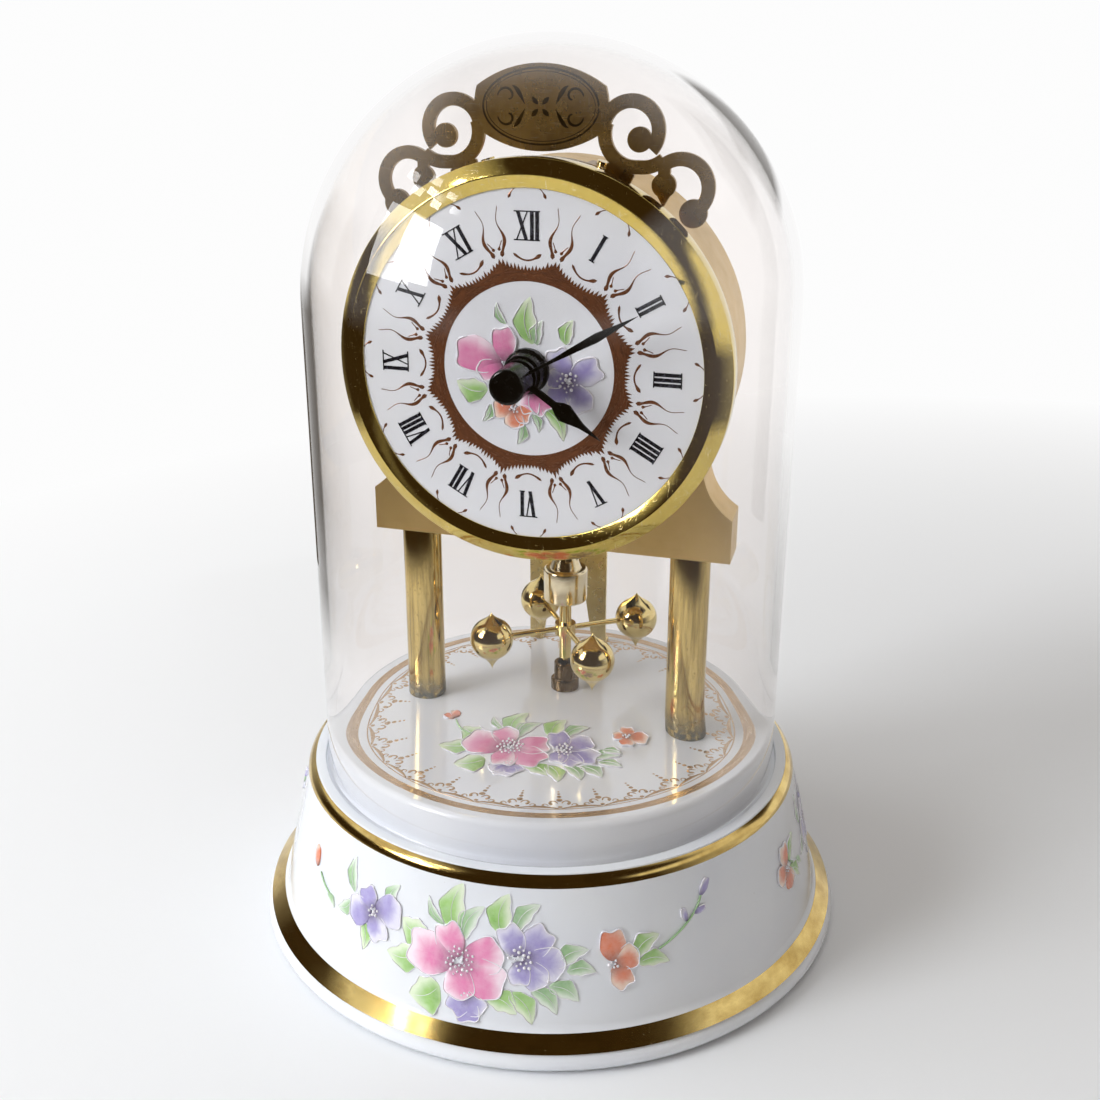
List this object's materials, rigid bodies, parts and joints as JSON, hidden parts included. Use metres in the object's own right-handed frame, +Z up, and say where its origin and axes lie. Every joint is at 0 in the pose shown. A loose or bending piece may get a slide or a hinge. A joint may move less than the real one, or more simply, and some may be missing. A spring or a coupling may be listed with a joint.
{
  "type": "anniversary clock",
  "caption": "Table clock on a stepped porcelain base under a lift-off glass dome, with a porcelain dial, brass works and a rotating ball pendulum.",
  "frame": {"origin": "centre of the underside of the foot, on the table", "axes": "+Z up, the dial faces -Y, +X is to the right of the dial"},
  "size_m": [0.115, 0.115, 0.166],
  "materials": {
    "porcelain": "glazed white with gilt bands and painted flowers",
    "dial_porcelain": "glazed white with painted numerals and flowers",
    "felt": "dark green felt",
    "dome_glass": "clear blown glass",
    "polished_brass": "polished",
    "satin_brass": "pale satin lacquer",
    "aged_brass": "brushed and tarnished",
    "gear_brass": "machined",
    "pale_brass": "pale satin",
    "dark_brass": "darkened",
    "steel": "plain steel",
    "black_metal": "black enamel",
    "black_plastic": "moulded black",
    "grey_plastic": "moulded grey",
    "circuit_green": "solder mask",
    "coil_copper": "enamelled copper wire",
    "battery_jacket": "plain printed jacket",
    "magnet_grey": "sintered magnet",
    "leather": "brown washers"
  },
  "bodies": {
    "works": {"porcelain_base": "porcelain", "felt_ring": "felt", "left_pillar": "polished_brass", "right_pillar": "polished_brass", "tie_rods": "steel", "tie_rod_nuts": "steel", "tie_rod_washers": "leather", "movement_bracket": "satin_brass", "case_drum": "satin_brass", "case_bolts": "polished_brass", "case_nuts": "steel", "bezel": "polished_brass", "backing_plate": "steel", "dial": "dial_porcelain", "dial_nut": "black_metal", "crest_plate": "aged_brass", "crest_screws": "polished_brass", "motion_stud": "steel", "movement_housing": "black_plastic", "circuit_board": "circuit_green", "motor_coil": "coil_copper", "quartz_crystal": "steel", "battery_box": "black_plastic", "battery_box_screws": "steel", "battery": "battery_jacket", "battery_contacts": "steel", "rear_support": "pale_brass", "support_screws": "polished_brass", "support_foot_bolts": "polished_brass", "support_foot_nuts": "steel", "guide_cup": "dark_brass", "guide_cup_nut": "steel"},
    "dome": {"glass_dome": "dome_glass"},
    "minute": {"minute_arbor": "steel", "minute_hand": "black_metal", "hand_cap": "black_metal"},
    "hour": {"hour_wheel": "gear_brass", "hour_hand": "black_metal"},
    "motion": {"motion_wheel": "gear_brass"},
    "setter": {"setting_wheel": "steel", "setting_knob": "grey_plastic"},
    "pendulum": {"pendulum_spindle": "steel", "drive_magnet": "magnet_grey", "pendulum_head": "polished_brass", "pendulum_rod": "polished_brass", "pendulum_arms": "polished_brass", "pendulum_balls": "polished_brass"}
  },
  "joints": [
    {"name": "dome_lift", "type": "slide", "parent": "works", "child": "dome", "axis": [0, 0, 1], "range_m": [0, 0.14]},
    {"name": "minute_turn", "type": "hinge", "parent": "works", "child": "minute", "pos_m": [0, 0, 0.1124], "axis": [0, 1, 0], "continuous": true},
    {"name": "hour_turn", "type": "hinge", "parent": "works", "child": "hour", "pos_m": [0, 0, 0.1124], "axis": [0, 1, 0], "continuous": true},
    {"name": "motion_turn", "type": "hinge", "parent": "works", "child": "motion", "pos_m": [0.00707, 0, 0.10533], "axis": [0, 1, 0], "continuous": true},
    {"name": "setting_turn", "type": "hinge", "parent": "works", "child": "setter", "pos_m": [0.01687, 0, 0.10909], "axis": [0, 1, 0], "continuous": true},
    {"name": "pendulum_turn", "type": "hinge", "parent": "works", "child": "pendulum", "pos_m": [0, 0.0105, 0], "axis": [0, 0, 1], "range_deg": [-180, 180]}
  ],
  "couplings": [
    {"joint": "hour_turn", "follows": "minute_turn", "ratio": 0.083333},
    {"joint": "motion_turn", "follows": "minute_turn", "ratio": -0.33333},
    {"joint": "setting_turn", "follows": "minute_turn", "ratio": 0.83333}
  ]
}
